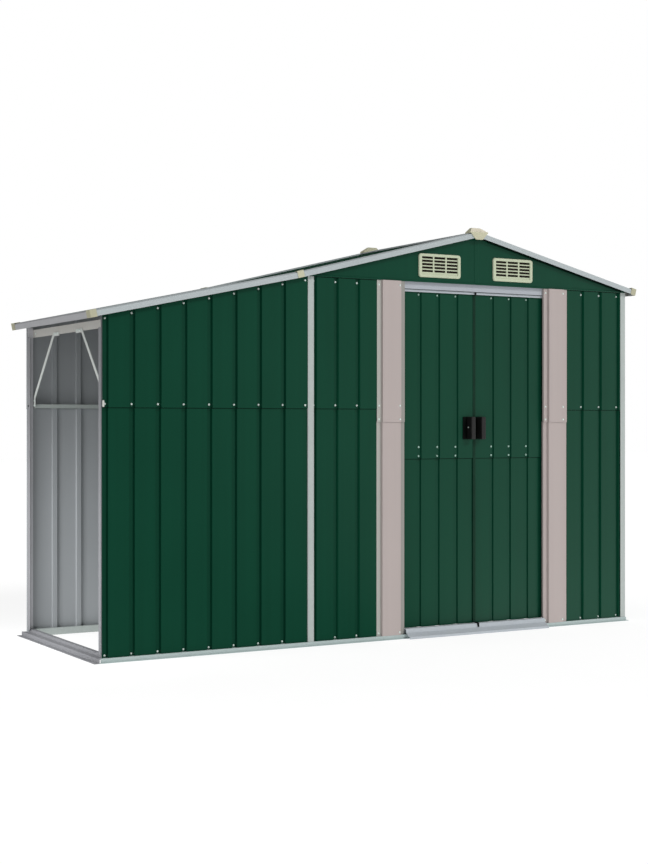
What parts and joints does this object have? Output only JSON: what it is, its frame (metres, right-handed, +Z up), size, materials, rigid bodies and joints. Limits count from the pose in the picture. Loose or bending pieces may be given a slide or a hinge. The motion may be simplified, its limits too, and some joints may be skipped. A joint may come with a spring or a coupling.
{
  "type": "metal storage shed with lean-to",
  "caption": "Green ribbed sheet-metal garden shed with a gabled roof, sliding doors, louvred gable vents and an open-ended lean-to beside it.",
  "frame": {"origin": "middle of the outer box, on the ground", "axes": "+X along the front to the right, +Y from the front to the back, +Z up"},
  "size_m": [2.7398, 0.965, 1.8],
  "materials": {
    "green_sheet": "satin dark green paint outside, grey inside",
    "zinc_frame": "zinc-coated steel",
    "silver_trim": "silver grey paint",
    "jamb_paint": "warm grey paint",
    "cream_plastic": "cream plastic",
    "black_plastic": "black plastic"
  },
  "bodies": {
    "shed": {"back_base_rail": "zinc_frame", "back_corner_post": "zinc_frame", "back_fascia": "silver_trim", "back_gable": "green_sheet", "back_right_post": "zinc_frame", "back_vents": "cream_plastic", "back_wall": "green_sheet", "corner_caps": "cream_plastic", "door_sill": "zinc_frame", "eave_trims": "silver_trim", "front_base_rail": "zinc_frame", "front_corner_post": "zinc_frame", "front_fascia": "silver_trim", "front_gable": "green_sheet", "front_left_wall": "green_sheet", "front_right_post": "zinc_frame", "front_right_wall": "green_sheet", "front_vents": "cream_plastic", "header_track": "zinc_frame", "joint_clips": "cream_plastic", "knee_braces": "zinc_frame", "lean_to_back_post": "zinc_frame", "lean_to_back_wall": "green_sheet", "lean_to_beam": "zinc_frame", "lean_to_front_post": "zinc_frame", "lean_to_front_wall": "green_sheet", "lean_to_roof": "green_sheet", "left_base_rail": "zinc_frame", "left_jamb": "jamb_paint", "left_wall": "green_sheet", "mid_rails": "zinc_frame", "middle_base_rail": "zinc_frame", "ridge_beam": "zinc_frame", "ridge_end_caps": "cream_plastic", "ridge_strip": "silver_trim", "right_base_rail": "zinc_frame", "right_jamb": "jamb_paint", "right_wall": "green_sheet", "roof_left": "green_sheet", "roof_right": "green_sheet", "wall_plates": "zinc_frame"},
    "left_door": {"left_door_frame": "zinc_frame", "left_door_handle": "black_plastic", "left_door_panels": "green_sheet", "left_door_shoes": "black_plastic"},
    "right_door": {"right_door_frame": "zinc_frame", "right_door_handle": "black_plastic", "right_door_panels": "green_sheet", "right_door_shoes": "black_plastic"}
  },
  "joints": [
    {"name": "left_door_slide", "type": "slide", "parent": "shed", "child": "left_door", "axis": [-1, 0, 0], "range_m": [0, 0.3]},
    {"name": "right_door_slide", "type": "slide", "parent": "shed", "child": "right_door", "axis": [1, 0, 0], "range_m": [0, 0.3]}
  ]
}
